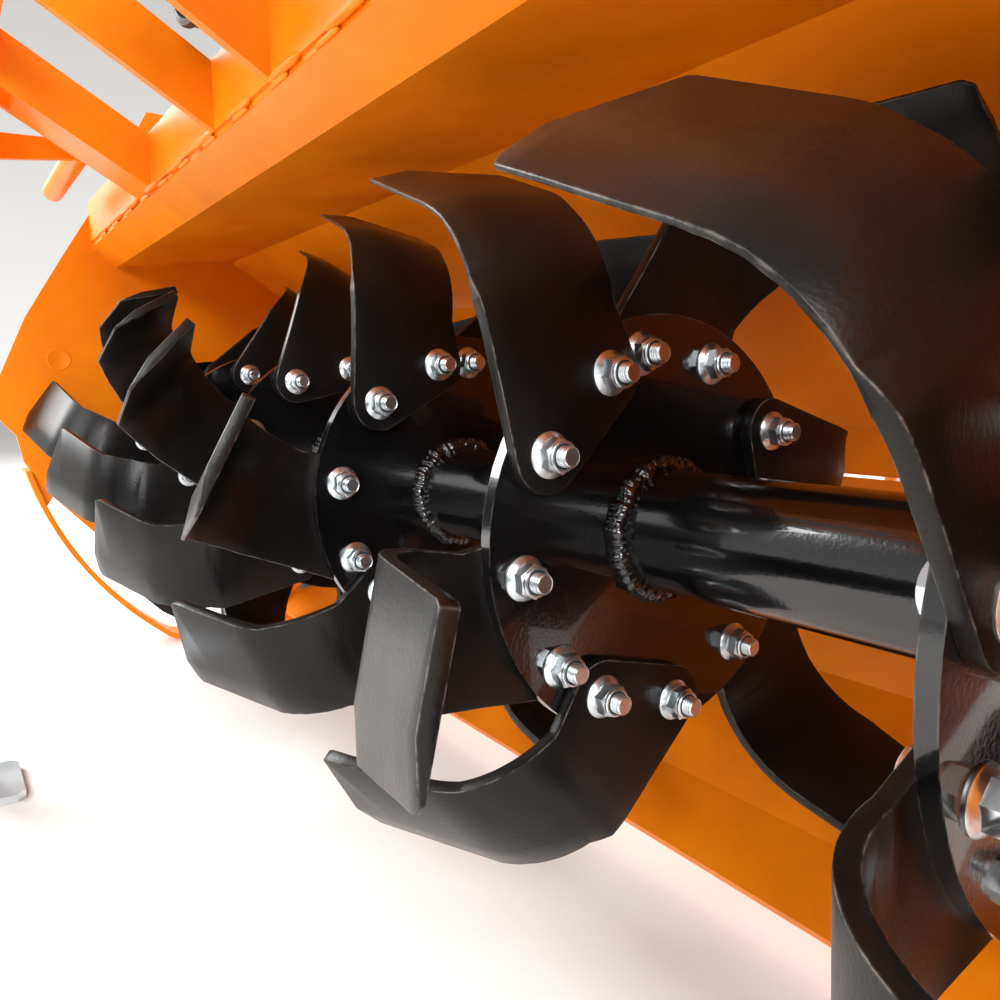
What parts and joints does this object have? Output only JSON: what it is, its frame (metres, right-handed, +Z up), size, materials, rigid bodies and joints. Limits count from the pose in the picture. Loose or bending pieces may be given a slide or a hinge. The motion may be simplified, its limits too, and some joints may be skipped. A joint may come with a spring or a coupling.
{
  "type": "rotavator",
  "caption": "Tractor-mounted rotary tiller: flanged rotor with bent tines under a folded hood, hinged rear board, side skids, three-point headstock and shaft drive.",
  "frame": {"origin": "on the floor, under the middle of the machine's box as it stands parked", "axes": "+X towards the machine's left, along the rotor; +Y to its rear; +Z up; the tractor is at -Y"},
  "size_m": [1.648, 0.815, 1.17],
  "materials": {
    "orange_paint": "gloss",
    "gearbox_paint": "gloss",
    "rotor_paint": "gloss",
    "tine_paint": "satin",
    "bare_steel": "satin",
    "zinc": "satin",
    "guard_plastic": "satin"
  },
  "bodies": {
    "frame": {"hood": "orange_paint", "deck_plate": "orange_paint", "front_beam": "orange_paint", "side_plate_left": "orange_paint", "side_plate_right": "orange_paint", "skid_left": "orange_paint", "skid_right": "orange_paint", "gearbox": "gearbox_paint", "gearbox_saddle": "orange_paint", "drive_tube": "orange_paint", "support_tube": "orange_paint", "drive_case": "orange_paint", "rotor_bearing": "orange_paint", "pto_guard": "guard_plastic", "hitch_arm_left": "orange_paint", "hitch_arm_right": "orange_paint", "inner_arms": "orange_paint", "cross_bars": "orange_paint", "mast_legs": "orange_paint", "mast_head": "orange_paint", "backstays": "orange_paint", "backstay_bridge": "orange_paint", "side_tubes": "orange_paint", "hinge_bar": "bare_steel", "hinge_ears": "orange_paint", "swivel_ears": "orange_paint", "stand_sleeve": "orange_paint"},
    "rotor": {"rotor_shaft": "rotor_paint", "tines_1": "tine_paint", "tines_2": "tine_paint", "tines_3": "tine_paint", "tines_4": "tine_paint", "tines_5": "tine_paint", "tines_6": "tine_paint"},
    "input_shaft": {"pto_shaft": "bare_steel"},
    "board": {"rear_board": "orange_paint"},
    "rod_left": {"board_rod_left": "zinc"},
    "rod_right": {"board_rod_right": "zinc"},
    "swivel_left": {"rod_swivel_left": "zinc"},
    "swivel_right": {"rod_swivel_right": "zinc"},
    "stand": {"stand_leg": "zinc"}
  },
  "joints": [
    {"name": "rotor_spin", "type": "hinge", "parent": "frame", "child": "rotor", "pos_m": [-0.009, 0.0085, 0.35], "axis": [1, 0, 0], "continuous": true},
    {"name": "input_spin", "type": "hinge", "parent": "frame", "child": "input_shaft", "pos_m": [-0.009, -0.0365, 0.805], "axis": [0, -1, 0], "continuous": true},
    {"name": "board_hinge", "type": "hinge", "parent": "frame", "child": "board", "pos_m": [-0.009, 0.3485, 0.386], "axis": [1, 0, 0], "range_deg": [0, 50]},
    {"name": "rod_left_foot", "type": "hinge", "parent": "board", "child": "rod_left", "pos_m": [0.291, 0.3935, 0.21], "axis": [1, 0, 0], "range_deg": [-32, 0]},
    {"name": "swivel_left_turn", "type": "hinge", "parent": "frame", "child": "swivel_left", "pos_m": [0.291, 0.3535, 0.68], "axis": [1, 0, 0], "range_deg": [0, 18.5]},
    {"name": "rod_right_foot", "type": "hinge", "parent": "board", "child": "rod_right", "pos_m": [-0.309, 0.3935, 0.21], "axis": [1, 0, 0], "range_deg": [-32, 0]},
    {"name": "swivel_right_turn", "type": "hinge", "parent": "frame", "child": "swivel_right", "pos_m": [-0.309, 0.3535, 0.68], "axis": [1, 0, 0], "range_deg": [0, 18.5]},
    {"name": "stand_slide", "type": "slide", "parent": "frame", "child": "stand", "axis": [0, 0, 1], "range_m": [0, 0.33]}
  ],
  "couplings": [
    {"joint": "input_spin", "follows": "rotor_spin", "ratio": 2.6},
    {"joint": "rod_left_foot", "follows": "board_hinge", "ratio": -0.6335},
    {"joint": "swivel_left_turn", "follows": "board_hinge", "ratio": 0.3665},
    {"joint": "rod_right_foot", "follows": "board_hinge", "ratio": -0.6335},
    {"joint": "swivel_right_turn", "follows": "board_hinge", "ratio": 0.3665}
  ]
}
